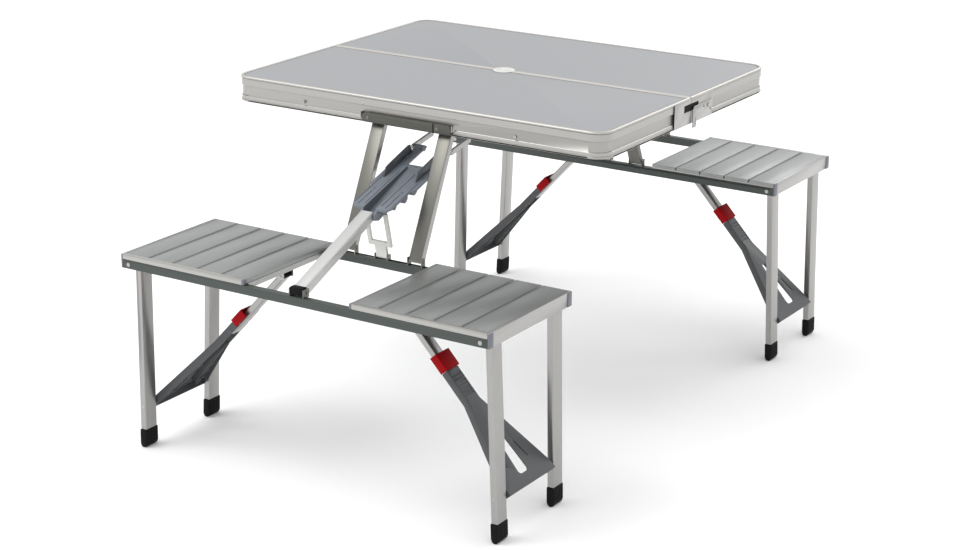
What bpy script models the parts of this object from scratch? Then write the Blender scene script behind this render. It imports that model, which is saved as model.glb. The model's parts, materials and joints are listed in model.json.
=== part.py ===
"""Folding aluminium picnic table with two slatted benches.

Metres, +Z up, feet on Z = 0. The seam of the table top runs along X through the origin.
The front half is on the -Y side. Every builder below draws the right-hand back quarter
(+X, +Y), and its sign arguments mirror it onto the other quarters.
"""

from math import cos, pi, radians, sin, tan

import bmesh
import bpy
from mathutils import Matrix, Vector

# Table top
TOP_Z = 0.6858
APRON = 0.0508
HALF_LENGTH = 0.4275
HALF_WIDTH = 0.340
SEAM_GAP = 0.0004
CORNER_R = 0.035
SEAM_R = 0.004
LIP = 0.003
WEB = 0.0015
LEDGE_IN = 0.012
LEDGE_Z = TOP_Z - 0.0038
PANEL_T = 0.0032
PANEL_INSET = 0.0050
RIM_Z = TOP_Z - APRON

# Umbrella hole and its cap
HOLE_R = 0.0198
CAP_R = 0.0225
PANEL_HOLE_R = CAP_R + 0.0006
CAP_PLUG_R = 0.0188
CAP_T = 0.0018
CUP_DEPTH = 0.018

# Bench
BENCH_TOP = 0.410
BENCH_HALF = 0.416
BENCH_OUT = 0.7105
BENCH_IN = 0.428
RAIL_W = 0.014
RAIL_TOP = 0.399
RAIL_H = 0.017
RAIL_WALL = 0.0014
RIVET_R = 0.0042
RIVET_H = 0.0009
SEAT_X0 = 0.1195
SEAT_UNDER = 0.3994
END_T = 0.0025
SLATS = 5
GROOVE = 0.0014

# Fold bars: A is the pivot under the table edge, B the pivot on the inner bench rail
BAR_X = 0.0775
BAR_W = 0.029
BAR_T = 0.013
A = (0.315, 0.662)
B = (0.433, 0.4085)
PIN_R = 0.003
BORE_R = 0.0037
EAR_T = 0.0018
EAR_GAP = 0.0006

# Diagonal tube, its pivot C on the outer rail, and the hub that slides on it
C = (0.697, 0.4065)
TUBE_SLOPE = radians(23.1)
TUBE_W = 0.026
TUBE_T = 0.019
TUBE_L = 0.2365
HUB_MOUTH = (0.476, 0.511)
K2 = (0.262, 0.578)
TROUGH_HALF = 0.0138
HUB_REAR = 0.329

# Struts from the hub arms up to the bracket D under the panel
D = (0.180, 0.655)
ELBOW = (0.200, 0.5895)
STRUT_X = 0.0415
STRUT_T = 0.005
STRUT_H = 0.011

# Bail between the inner rail and the hub
E = (0.4345, 0.405)
BAIL_TILT = radians(13.5)
BAIL_L = 0.095

# Legs
P0 = (0.3985, 0.3905)
FOOT_X = 0.4103
LEG_T = 0.013
LEG_W = 0.032
OUTER_LEG = (0.6675, 0.6600)
INNER_LEG = (0.4590, 0.4665)
FOOT_T = 0.0155
FOOT_W = 0.037
FOOT_H = 0.038

# Leg stay: tube from PS under the seat to the knee PK, plastic brace from PK to the legs
PS = (0.132, 0.380)
PK = (0.2559, 0.2467)
STAY_P = 0.182
STAY_Q = 0.222
STAY_W = 0.025
STAY_T = 0.012
BRACE_MID = 0.5693
BRACE_IN = 0.4850
BRACE_OUT = 0.6420
NECK_HALF = 0.018
BRACE_WALL = 0.002
BRACE_N0 = -0.005
BRACE_N1 = 0.0100
LOCK_TRAVEL = 0.018

# Handle, latch
HANDLE_X = (-0.1090, 0.0989)
HANDLE_AXIS = (0.3446, 0.650)
LATCH_PIVOT = (0.069, 0.660)

for old in list(bpy.data.objects):
    bpy.data.objects.remove(old, do_unlink=True)
scene = bpy.context.scene
PARTS = bpy.data.collections.new("folding_picnic_table")
CUTTERS = bpy.data.collections.new("helpers")
scene.collection.children.link(PARTS)
scene.collection.children.link(CUTTERS)
CUTTERS.hide_render = True
PIVOT = {}


def material(name, colour, metallic, roughness):
    mat = bpy.data.materials.new(name)
    mat.use_nodes = True
    shader = mat.node_tree.nodes["Principled BSDF"]
    shader.inputs["Base Color"].default_value = (*colour, 1.0)
    shader.inputs["Metallic"].default_value = metallic
    shader.inputs["Roughness"].default_value = roughness
    mat.diffuse_color = (*colour, 1.0)
    return mat


PANEL_MAT = material("panel_coated_grey", (0.45, 0.47, 0.48), 0.0, 0.6)
SILVER = material("aluminium_silver", (0.62, 0.61, 0.59), 0.9, 0.38)
GREEN = material("rail_dark_green_grey", (0.07, 0.09, 0.08), 0.4, 0.45)
SEAT_MAT = material("seat_brushed_grey", (0.30, 0.31, 0.31), 0.7, 0.5)
STEEL = material("bar_steel_grey", (0.20, 0.20, 0.18), 0.7, 0.4)
PLASTIC = material("brace_dark_plastic", (0.09, 0.10, 0.11), 0.0, 0.5)
HUB_MAT = material("hub_blue_grey_plastic", (0.19, 0.22, 0.24), 0.0, 0.45)
RED = material("lock_red_plastic", (0.45, 0.01, 0.01), 0.0, 0.4)
WHITE = material("white_plastic", (0.70, 0.70, 0.68), 0.0, 0.45)
BLACK = material("foot_black_rubber", (0.012, 0.012, 0.012), 0.0, 0.7)
OLIVE = material("handle_olive_grey", (0.12, 0.125, 0.10), 0.0, 0.6)


def block(bm, x0, x1, y0, y1, z0, z1):
    centre = Matrix.Translation(((x0 + x1) / 2, (y0 + y1) / 2, (z0 + z1) / 2))
    size = Matrix.Diagonal((x1 - x0, y1 - y0, z1 - z0, 1.0))
    return bmesh.ops.create_cube(bm, size=1.0, matrix=centre @ size)["verts"]


def prism(bm, axis, points, low, high):
    """Extrude a polygon along an axis; its points are (y, z), (x, z) or (x, y)."""
    place = {
        "x": lambda p, h: (h, p[0], p[1]),
        "y": lambda p, h: (p[0], h, p[1]),
        "z": lambda p, h: (p[0], p[1], h),
    }[axis]
    floor = [bm.verts.new(place(p, low)) for p in points]
    roof = [bm.verts.new(place(p, high)) for p in points]
    bm.faces.new(floor)
    bm.faces.new(roof)
    for i, vert in enumerate(floor):
        j = (i + 1) % len(floor)
        bm.faces.new((vert, floor[j], roof[j], roof[i]))
    return floor + roof


def rod(bm, axis, a, b, radius, low, high, segments=8):
    """Cylinder along an axis through (a, b) of the other two axes."""
    turn = {
        "x": Matrix.Rotation(pi / 2, 4, "Y"),
        "y": Matrix.Rotation(pi / 2, 4, "X"),
        "z": Matrix.Identity(4),
    }[axis]
    mid = (low + high) / 2
    at = {"x": (mid, a, b), "y": (a, mid, b), "z": (a, b, mid)}[axis]
    made = bmesh.ops.create_cone(
        bm,
        cap_ends=True,
        segments=segments,
        radius1=radius,
        radius2=radius,
        depth=high - low,
        matrix=Matrix.Translation(at) @ turn,
    )
    return made["verts"]


def rounded(half_x, y_in, y_out, r_in, r_out, steps=4):
    """Outline of half a table: round outer corners, tight corners at the seam."""
    corners = (
        (half_x, y_out, r_out, 0.0),
        (-half_x, y_out, r_out, pi / 2),
        (-half_x, y_in, r_in, pi),
        (half_x, y_in, r_in, 3 * pi / 2),
    )
    points = []
    for x, y, r, start in corners:
        r = max(r, 0.0008)
        cx = x - r if x > 0 else x + r
        cy = y - r if y == y_out else y + r
        for k in range(steps + 1):
            turn = start + pi / 2 * k / steps
            points.append((cx + r * cos(turn), cy + r * sin(turn)))
    return points


def ring(bm, profile):
    """Sweep a closed (inset, height) profile round the outline of half a table."""
    loops = []
    for inset, z in profile:
        outline = rounded(
            HALF_LENGTH - inset,
            SEAM_GAP + inset,
            HALF_WIDTH - inset,
            SEAM_R - inset,
            CORNER_R - inset,
        )
        loops.append([bm.verts.new((x, y, z)) for x, y in outline])
    for i, low in enumerate(loops):
        high = loops[(i + 1) % len(loops)]
        for k, vert in enumerate(low):
            m = (k + 1) % len(low)
            bm.faces.new((vert, low[m], high[m], high[k]))


def draw(build, sx, sy, shift):
    bm = bmesh.new()
    build(bm)
    bmesh.ops.scale(bm, vec=(sx, sy, 1.0), verts=bm.verts)
    bmesh.ops.translate(bm, vec=[-s for s in shift], verts=bm.verts)
    bmesh.ops.recalc_face_normals(bm, faces=bm.faces)
    return bm


def to_object(name, bm, collection):
    mesh = bpy.data.meshes.new(name)
    bm.to_mesh(mesh)
    bm.free()
    obj = bpy.data.objects.new(name, mesh)
    collection.objects.link(obj)
    return obj


def node(name, build, ops, mat, pivot, sx=1, sy=1, parent=None):
    """One part: its base mesh, the Booleans that finish it, and its origin on its pivot."""
    at = (sx * pivot[0], sy * pivot[1], pivot[2])
    obj = to_object(name, draw(build, sx, sy, at), PARTS)
    PIVOT[name] = at
    obj.location = at
    if parent:
        obj.parent = bpy.data.objects[parent]
        obj.location = [a - b for a, b in zip(at, PIVOT[parent])]
    obj.data.materials.append(mat)
    for index, (operation, shape) in enumerate(ops):
        helper = to_object(f"{name}_{operation.lower()}_{index}", draw(shape, sx, sy, (0, 0, 0)), CUTTERS)
        helper.hide_render = True
        helper.display_type = "WIRE"
        helper.data.materials.append(mat)
        boolean = obj.modifiers.new(f"{operation.lower()}_{index}", "BOOLEAN")
        boolean.operation = operation
        boolean.solver = "EXACT"
        boolean.object = helper
    return obj


def add(shape):
    return ("UNION", shape)


def cut(shape):
    return ("DIFFERENCE", shape)


def ears(bm, x, half, y0, y1, z0, z1):
    """A pair of ears either side of a piece of the given half width, centred on x."""
    inner = half + EAR_GAP
    block(bm, x - inner - EAR_T, x - inner, y0, y1, z0, z1)
    block(bm, x + inner, x + inner + EAR_T, y0, y1, z0, z1)


def axle(bm, x, half, at, radius=PIN_R):
    reach = half + EAR_GAP + EAR_T + 0.0012
    rod(bm, "x", at[0], at[1], radius, x - reach, x + reach)


# ---------------------------------------------------------------- table top


def frame_profile():
    web = LIP + WEB
    return (
        (0.0, RIM_Z + 0.0010),
        (0.0010, RIM_Z),
        (web, RIM_Z),
        (web, LEDGE_Z - 0.0012),
        (LEDGE_IN, LEDGE_Z - 0.0012),
        (LEDGE_IN, LEDGE_Z),
        (web, LEDGE_Z),
        (web, TOP_Z - 0.0004),
        (web - 0.0006, TOP_Z),
        (0.0012, TOP_Z),
        (0.0, TOP_Z - 0.0012),
        (0.0, TOP_Z - 0.0034),
        (LIP, TOP_Z - 0.0042),
        (LIP, RIM_Z + 0.0050),
        (0.0, RIM_Z + 0.0040),
    )


def cup(radius, depth):
    return lambda bm: rod(bm, "z", 0, 0, radius, TOP_Z - depth, TOP_Z + 0.01, 16)


def table_ears(bm):
    for side in (-1, 1):
        ears(bm, side * BAR_X, BAR_W / 2, A[0] - 0.012, HALF_WIDTH - LIP - 0.0008, A[1] - 0.010, LEDGE_Z - 0.0006)


def table_axles(bm):
    for side in (-1, 1):
        axle(bm, side * BAR_X, BAR_W / 2, A)


def handle_lugs(bm):
    lug = (HALF_WIDTH - LIP - 0.0006, HANDLE_AXIS[0] + 0.003, 0.6440, 0.6560)
    block(bm, HANDLE_X[0] - 0.0024, HANDLE_X[0] - 0.0006, *lug)
    block(bm, HANDLE_X[1] + 0.0006, HANDLE_X[1] + 0.0024, *lug)


def panel(bm):
    outline = rounded(
        HALF_LENGTH - PANEL_INSET,
        SEAM_GAP + PANEL_INSET,
        HALF_WIDTH - PANEL_INSET,
        0.001,
        CORNER_R - PANEL_INSET,
    )
    prism(bm, "z", outline, LEDGE_Z + 0.0004, LEDGE_Z + 0.0004 + PANEL_T)


def strut_bracket(bm):
    for side in (-1, 1):
        block(bm, side * 0.0325 - 0.001, side * 0.0325 + 0.001, D[0] - 0.009, D[0] + 0.009, D[1] - 0.008, LEDGE_Z + 0.0012)


def strut_bores(bm):
    rod(bm, "x", D[0], D[1], BORE_R, -0.036, 0.036)


def table_half(label, sy):
    pivot = (0, 0, RIM_Z)
    frame = f"{label}_frame"
    extra = [add(handle_lugs)] if sy < 0 else []
    ops = [add(table_ears), add(table_axles)] + extra + [cut(cup(HOLE_R, CUP_DEPTH))]
    parent = None if sy < 0 else "front_frame"
    node(frame, lambda bm: ring(bm, frame_profile()), ops, SILVER, pivot, 1, sy, parent)
    ops = [add(strut_bracket), cut(strut_bores), cut(cup(PANEL_HOLE_R, CUP_DEPTH))]
    node(f"{label}_top_panel", panel, ops, PANEL_MAT, pivot, 1, sy, frame)


def latch_plate(label, sy, reach):
    x0 = HALF_LENGTH + 0.0003

    def plate(bm):
        block(bm, x0, x0 + 0.0010, 0.0006, reach, RIM_Z + 0.0004, TOP_Z - 0.0006)

    def slot(bm):
        block(bm, x0 - 0.001, x0 + 0.002, -0.001, 0.030, 0.661, 0.675)

    def stud(bm):
        rod(bm, "x", LATCH_PIVOT[0], LATCH_PIVOT[1], 0.0035, x0 + 0.0005, x0 + 0.0042, 12)

    ops = [cut(slot)] + ([add(stud)] if sy > 0 else [])
    node(f"{label}_latch_plate", plate, ops, SILVER, (0, 0, RIM_Z), 1, sy, f"{label}_frame")


def hasp(bm):
    x0 = HALF_LENGTH + 0.0017
    outline = [
        (LATCH_PIVOT[0] + 0.008, 0.652),
        (LATCH_PIVOT[0] + 0.008, 0.668),
        (0.010, 0.668),
        (0.004, 0.662),
        (0.004, 0.625),
        (0.018, 0.625),
        (0.018, 0.652),
    ]
    prism(bm, "x", outline, x0, x0 + 0.0016)


def hasp_bore(bm):
    x0 = HALF_LENGTH
    rod(bm, "x", LATCH_PIVOT[0], LATCH_PIVOT[1], 0.0041, x0, x0 + 0.006, 12)


def handle(bm):
    r = 0.0085
    steps = 5
    z0, z1 = RIM_Z + 0.0022, RIM_Z + 0.0202
    x0, x1 = HANDLE_X
    points = []
    for cx, cz, start in (
        (x1 - r, z1 - r, 0.0),
        (x0 + r, z1 - r, pi / 2),
        (x0 + r, z0 + r, pi),
        (x1 - r, z0 + r, 3 * pi / 2),
    ):
        for k in range(steps + 1):
            turn = start + pi / 2 * k / steps
            points.append((cx + r * cos(turn), cz + r * sin(turn)))
    prism(bm, "y", points, HALF_WIDTH + 0.0006, HALF_WIDTH + 0.0082)


def cap_disc(bm):
    rod(bm, "z", 0, 0, CAP_R, TOP_Z + 0.0003, TOP_Z + 0.0003 + CAP_T, 20)


def cap_plug(bm):
    rod(bm, "z", 0, 0, CAP_PLUG_R, TOP_Z - CUP_DEPTH + 0.002, TOP_Z + 0.001, 16)


# ---------------------------------------------------------------- benches


def rail(bm, y0):
    length = BENCH_HALF - END_T - 0.0004
    block(bm, -length, length, y0, y0 + RAIL_W, RAIL_TOP - RAIL_H, RAIL_TOP)


def rail_bore(bm, y0):
    wall = RAIL_WALL
    z0 = RAIL_TOP - RAIL_H
    block(bm, -0.5, 0.5, y0 + wall, y0 + RAIL_W - wall, z0 + wall, RAIL_TOP - wall)


def leg_rivets(bm, face, out):
    """Heads of the leg pivots on a rail's outside face; out is +1 or -1 along Y."""
    low, high = sorted((face - out * RAIL_WALL / 2, face + out * RIVET_H))
    for side in (-1, 1):
        rod(bm, "y", side * P0[0], P0[1], RIVET_R, low, high, 12)


def inner_ears(bm):
    for side in (-1, 1):
        ears(bm, side * BAR_X, BAR_W / 2, BENCH_IN + 0.0005, BENCH_IN + 0.0125, RAIL_TOP - 0.0006, B[1] + 0.006)
    ears(bm, 0, 0.013, BENCH_IN + 0.0008, BENCH_IN + 0.0125, RAIL_TOP - 0.0006, E[1] + 0.005)


def inner_axles(bm):
    for side in (-1, 1):
        axle(bm, side * BAR_X, BAR_W / 2, B)


def outer_ears(bm):
    ears(bm, 0, TUBE_W / 2 + 0.0012, C[0] - 0.006, BENCH_OUT - 0.002, RAIL_TOP - 0.0006, C[1] + 0.008)


def outer_axle(bm):
    axle(bm, 0, TUBE_W / 2 + 0.0012, C)


def seat(bm):
    block(bm, SEAT_X0, BENCH_HALF - END_T - 0.0004, BENCH_IN + 0.0004, BENCH_OUT - 0.0004, SEAT_UNDER, BENCH_TOP)


def seat_grooves(bm):
    x1 = BENCH_HALF - END_T
    pitch = (x1 - SEAT_X0) / SLATS
    for k in range(1, SLATS):
        x = SEAT_X0 + k * pitch
        block(bm, x - GROOVE / 2, x + GROOVE / 2, BENCH_IN + 0.009, BENCH_OUT - 0.009, BENCH_TOP - 0.0016, BENCH_TOP + 0.002)


def seat_beam(bm):
    block(bm, SEAT_X0 + 0.0008, SEAT_X0 + 0.008, BENCH_IN + RAIL_W + 0.001, BENCH_OUT - RAIL_W - 0.001, 0.3892, SEAT_UNDER + 0.0008)


def stay_ears(bm):
    inner = STAY_W / 2 + 0.0012
    for side in (-1, 1):
        y = BRACE_MID + side * (inner + EAR_T / 2)
        block(bm, PS[0] - 0.008, PS[0] + 0.007, y - EAR_T / 2, y + EAR_T / 2, PS[1] - 0.0052, SEAT_UNDER + 0.0008)


def stay_axle(bm):
    reach = STAY_W / 2 + 0.0012 + EAR_T + 0.0008
    rod(bm, "y", PS[0], PS[1], 0.0025, BRACE_MID - reach, BRACE_MID + reach)


def end_profile(bm):
    block(bm, BENCH_HALF - END_T, BENCH_HALF, BENCH_IN + 0.0006, BENCH_OUT - 0.0006, RAIL_TOP - RAIL_H, BENCH_TOP - 0.0002)


def bar(bm):
    run = Vector((A[0] - B[0], A[1] - B[1]))
    up = run.normalized()
    side = Vector((up.y, -up.x)) * (BAR_T / 2)
    low = Vector(B) - up * 0.0042
    high = Vector(A) + up * 0.0042
    points = [low - side * 0.7, low + side * 0.7]
    points += [low + side + up * 0.003, high + side - up * 0.003]
    points += [high + side * 0.7, high - side * 0.7]
    points += [high - side - up * 0.003, low - side + up * 0.003]
    prism(bm, "x", [tuple(p) for p in points], BAR_X - BAR_W / 2, BAR_X + BAR_W / 2)


def bar_bores(bm):
    for at in (A, B):
        rod(bm, "x", at[0], at[1], BORE_R, BAR_X - 0.02, BAR_X + 0.02)


def on_tube(s, n):
    """Point of the tube's side view: s along the tube from C, n above its centre line."""
    c, k = cos(TUBE_SLOPE), sin(TUBE_SLOPE)
    return (C[0] - c * s + k * n, C[1] + k * s + c * n)


def tube(bm):
    h = TUBE_T / 2
    outline = [(0.006, -h), (-0.001, -0.0064), (-0.0062, -0.0030), (-0.0075, 0.004), (-0.005, h)]
    outline += [(TUBE_L - 0.002, h), (TUBE_L, h - 0.002), (TUBE_L, -h + 0.002), (TUBE_L - 0.002, -h)]
    prism(bm, "x", [on_tube(s, n) for s, n in outline], -TUBE_W / 2, TUBE_W / 2)


def tube_bore(bm):
    rod(bm, "x", C[0], C[1], BORE_R, -0.02, 0.02)


def hub_plate(bm):
    """The hub's flange in plan, laid in the plane from its mouth up to the arm pivots."""
    right = [(0.028, 0.476), (0.038, 0.474), (0.044, 0.464), (0.044, 0.406), (0.052, 0.398)]
    right += [(0.052, 0.347), (0.042, 0.338), (0.040, 0.254), (0.0188, 0.254), (0.0188, 0.322)]
    outline = right + [(-x, y) for x, y in reversed(right)]
    verts = prism(bm, "z", outline, -0.0042, 0.0)
    rise = (K2[1] - HUB_MOUTH[1]) / (HUB_MOUTH[0] - K2[0])
    for vert in verts:
        vert.co.z += HUB_MOUTH[1] + (HUB_MOUTH[0] - vert.co.y) * rise


def tube_under(y):
    return C[1] + (C[0] - y) * tan(TUBE_SLOPE) - TUBE_T / 2 / cos(TUBE_SLOPE)


def hub_cheeks(bm):
    top = [(HUB_REAR - 0.006, 0.5555), (0.474, 0.5098), (0.4850, 0.5015), (0.4850, 0.4905)]
    low = [(0.470, 0.4874), (HUB_REAR - 0.006, tube_under(HUB_REAR - 0.006) - 0.0036)]
    for side in (-1, 1):
        x = sorted((side * TROUGH_HALF, side * (TROUGH_HALF + 0.004)))
        prism(bm, "x", top + low, x[0], x[1])


def hub_floor(bm):
    gap = 0.0006
    y0, y1 = HUB_REAR - 0.005, 0.474
    points = [(y1, tube_under(y1) - gap), (y1, tube_under(y1) - gap - 0.0026)]
    points += [(y0, tube_under(y0) - gap - 0.0026), (y0, tube_under(y0) - gap)]
    prism(bm, "x", points, -TROUGH_HALF - 0.002, TROUGH_HALF + 0.002)


def hub_back(bm):
    block(bm, -0.016, 0.016, HUB_REAR - 0.0068, HUB_REAR, 0.5490, 0.5562)


def hub_eyes(bm):
    for side in (-1, 1):
        rod(bm, "x", K2[0], K2[1] - 0.001, 0.0065, side * 0.0294 - 0.0104, side * 0.0294 + 0.0104)


def trough(bm):
    y0, y1 = HUB_REAR, 0.50
    points = [(y1, tube_under(y1) - 0.0006), (y0, tube_under(y0) - 0.0006), (y0, 0.60), (y1, 0.60)]
    prism(bm, "x", points, -TROUGH_HALF, TROUGH_HALF)


def strut(bm):
    """Cranked flat bar: almost level from the hub arm, then up to the bracket."""
    k, e, d = Vector(K2), Vector(ELBOW), Vector(D)
    h = STRUT_H / 2
    level = (e - k).normalized()
    rise = (d - e).normalized()
    n1 = Vector((level.y, -level.x)) * h
    n2 = Vector((rise.y, -rise.x)) * h
    mid = (n1 + n2) / (1 + n1.dot(n2) / h / h)
    points = [k - level * 0.0055 + n1 * 0.6, k - level * 0.0055 - n1 * 0.6]
    points += [k - level * 0.002 - n1, e - mid, d + rise * 0.002 - n2]
    points += [d + rise * 0.0055 - n2 * 0.6, d + rise * 0.0055 + n2 * 0.6]
    points += [d + rise * 0.002 + n2, e + mid, k - level * 0.002 + n1]
    for side in (-1, 1):
        x = sorted((side * STRUT_X, side * (STRUT_X + STRUT_T)))
        prism(bm, "x", [tuple(p) for p in points], x[0], x[1])


def strut_pin(bm):
    rod(bm, "x", D[0], D[1], PIN_R, -STRUT_X - 0.003, STRUT_X + 0.003)


def bail(bm):
    half = [(0.0130, -0.001), (0.0130, 0.0238), (0.0265, 0.0238), (0.0265, BAIL_L)]
    half += [(0.0186, BAIL_L), (0.0186, 0.033)]
    outline = half + [(-x, h) for x, h in reversed(half)]
    verts = prism(bm, "y", outline, -0.0028, 0.0028)
    turn = Matrix.Translation((0, E[0], E[1])) @ Matrix.Rotation(-BAIL_TILT, 4, "X")
    bmesh.ops.transform(bm, matrix=turn, verts=verts)


def bail_neck(bm):
    rod(bm, "x", E[0], E[1], 0.0044, -0.0129, 0.0129)


# ---------------------------------------------------------------- legs


def leg_at(z):
    return P0[0] + (FOOT_X - P0[0]) * (P0[1] - z) / P0[1]


def toe(verts, leg):
    """Lean a leg drawn at its top position toward its foot position."""
    for vert in verts:
        vert.co.y += (leg[1] - leg[0]) * (P0[1] - vert.co.z) / P0[1]


def leg(bm, centre):
    r = LEG_T / 2
    z0 = FOOT_H + 0.0004
    points = [(leg_at(z0) + r, z0)]
    points += [(P0[0] + r * cos(pi * k / 6), P0[1] + r * sin(pi * k / 6)) for k in range(7)]
    points += [(leg_at(z0) - r, z0)]
    verts = prism(bm, "y", points, centre[0] - LEG_W / 2, centre[0] + LEG_W / 2)
    toe(verts, centre)


def leg_rod(bm):
    rod(bm, "y", P0[0], P0[1], 0.004, BENCH_IN + RAIL_W + 0.0005, BENCH_OUT - RAIL_W - 0.0005)


def foot(bm, centre):
    h = FOOT_T / 2
    half = [(h, FOOT_H), (h, 0.0075), (h - 0.0022, 0.0022), (h - 0.0045, 0.0)]
    outline = half + [(-x, z) for x, z in reversed(half)]
    points = [(x + leg_at(z), z) for x, z in outline]
    verts = prism(bm, "y", points, centre[0] - FOOT_W / 2, centre[0] + FOOT_W / 2)
    toe(verts, centre)


STAY_DIR = Vector((PK[0] - PS[0], 0, PK[1] - PS[1])).normalized()
STAY_UP = Vector((-STAY_DIR.z, 0, STAY_DIR.x))


def stay_frame(bm, verts):
    """Lay a shape drawn as (along, across, up) from the knee into the stay's plane."""
    for vert in verts:
        d, v, n = vert.co
        vert.co = Vector((PK[0], BRACE_MID + v, PK[1])) + STAY_DIR * d + STAY_UP * n


def stay_tube(bm):
    h, w = STAY_T / 2, STAY_W / 2
    verts = block(bm, -STAY_P - 0.005, 0.004, -w, w, -h, h)
    stay_frame(bm, verts)


def stay_bores(bm):
    for at in (PS, PK):
        rod(bm, "y", at[0], at[1], 0.0031, BRACE_MID - 0.02, BRACE_MID + 0.02)


def brace_outline(inset, top, bottom):
    low, high = BRACE_IN - BRACE_MID + inset, BRACE_OUT - BRACE_MID - inset
    neck = NECK_HALF - inset
    return [(top, -neck), (top, neck), (0.050, neck), (bottom - 0.014, high), (bottom, high), (bottom, low), (bottom - 0.014, low), (0.050, -neck)]


def brace(bm):
    verts = prism(bm, "z", brace_outline(0.0, -0.0215, STAY_Q + 0.010), BRACE_N0, BRACE_N1)
    stay_frame(bm, verts)


def brace_hollow(bm):
    outline = brace_outline(BRACE_WALL + 0.0005, -0.03, STAY_Q + 0.008)
    verts = prism(bm, "z", outline, BRACE_N0 - 0.005, BRACE_N1 - BRACE_WALL)
    stay_frame(bm, verts)


def brace_slot(bm):
    verts = block(bm, 0.150, 0.208, -0.005, 0.005, -0.01, 0.02)
    stay_frame(bm, verts)


def knee_pin(bm):
    reach = NECK_HALF - 0.001
    rod(bm, "y", PK[0], PK[1], 0.0025, BRACE_MID - reach, BRACE_MID + reach)


def lock(bm):
    verts = block(bm, -0.058, -0.022, -0.0215, 0.0215, -0.004, 0.0132)
    stay_frame(bm, verts)


def lock_hollow(bm):
    verts = block(bm, -0.07, 0.0, -0.0186, 0.0186, -0.01, BRACE_N1 + 0.0005)
    stay_frame(bm, verts)


def bench(label, sy):
    table = f"{label}_frame"
    inner, outer = f"{label}_inner_rail", f"{label}_outer_rail"
    at_a, at_b = (0, A[0], A[1]), (0, B[0], B[1])
    for word, sx in (("left", -1), ("right", 1)):
        node(f"{label}_{word}_bar", bar, [cut(bar_bores)], STEEL, at_a, sx, sy, table)
    heads = add(lambda bm: leg_rivets(bm, BENCH_IN, -1))
    ops = [cut(lambda bm: rail_bore(bm, BENCH_IN)), add(inner_ears), add(inner_axles), heads]
    node(inner, lambda bm: rail(bm, BENCH_IN), ops, GREEN, at_b, 1, sy, f"{label}_right_bar")
    y0 = BENCH_OUT - RAIL_W
    heads = add(lambda bm: leg_rivets(bm, BENCH_OUT, 1))
    ops = [cut(lambda bm: rail_bore(bm, y0)), add(outer_ears), add(outer_axle), heads]
    node(outer, lambda bm: rail(bm, y0), ops, GREEN, at_b, 1, sy, inner)
    at_c = (0, C[0], C[1])
    node(f"{label}_diagonal_tube", tube, [cut(tube_bore)], SILVER, at_c, 1, sy, outer)
    ops = [add(hub_cheeks), add(hub_floor), add(hub_back), add(hub_eyes), cut(trough)]
    at_hub = (0, *on_tube(TUBE_L, 0.0))
    node(f"{label}_hub", hub_plate, ops, HUB_MAT, at_hub, 1, sy, f"{label}_diagonal_tube")
    node(f"{label}_struts", strut, [add(strut_pin)], SILVER, (0, D[0], D[1]), 1, sy, table)
    node(f"{label}_bail", bail, [add(bail_neck)], WHITE, (0, E[0], E[1]), 1, sy, inner)
    for word, sx in (("left", -1), ("right", 1)):
        bench_end(f"{label}_{word}", sx, sy, inner)


def bench_end(label, sx, sy, inner):
    at_b = (0, B[0], B[1])
    ops = [cut(seat_grooves), add(seat_beam), add(stay_ears), add(stay_axle)]
    node(f"{label}_seat", seat, ops, SEAT_MAT, at_b, sx, sy, inner)
    node(f"{label}_end_profile", end_profile, [], SILVER, at_b, sx, sy, inner)
    legs = f"{label}_leg_frame"
    at_p0 = (P0[0], BRACE_MID, P0[1])
    ops = [add(lambda bm: leg(bm, OUTER_LEG)), add(leg_rod)]
    node(legs, lambda bm: leg(bm, INNER_LEG), [ops[1], ops[0]], SILVER, at_p0, sx, sy, inner)
    node(f"{label}_outer_foot", lambda bm: foot(bm, OUTER_LEG), [], BLACK, at_p0, sx, sy, legs)
    node(f"{label}_inner_foot", lambda bm: foot(bm, INNER_LEG), [], BLACK, at_p0, sx, sy, legs)
    stay, tray = f"{label}_stay_tube", f"{label}_brace"
    at_ps = (PS[0], BRACE_MID, PS[1])
    at_pk = (PK[0], BRACE_MID, PK[1])
    node(stay, stay_tube, [cut(stay_bores)], SILVER, at_ps, sx, sy, inner)
    ops = [cut(brace_hollow), cut(brace_slot), add(knee_pin)]
    node(tray, brace, ops, PLASTIC, at_pk, sx, sy, stay)
    node(f"{label}_lock", lock, [cut(lock_hollow)], RED, at_pk, sx, sy, tray)


table_half("front", -1)
table_half("back", 1)
latch_plate("front", -1, 0.069)
latch_plate("back", 1, 0.091)
at_handle = (0, HANDLE_AXIS[0], HANDLE_AXIS[1])
node("carry_handle", handle, [], OLIVE, at_handle, 1, -1, "front_frame")
at_latch = (HALF_LENGTH, LATCH_PIVOT[0], LATCH_PIVOT[1])
node("latch_hasp", hasp, [cut(hasp_bore)], STEEL, at_latch, 1, 1, "back_latch_plate")
node("umbrella_cap", cap_disc, [add(cap_plug)], WHITE, (0, 0, TOP_Z), 1, 1, "front_frame")
bench("front", -1)
bench("back", 1)
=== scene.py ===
"""Looks of the folding picnic table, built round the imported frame.

Metres, +Z up. Builders draw the right-hand back quarter (+X, +Y); sign arguments mirror them.
"""

import json
from math import cos, pi, radians, sin

import bmesh
import bpy
from mathutils import Matrix, Vector

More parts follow.
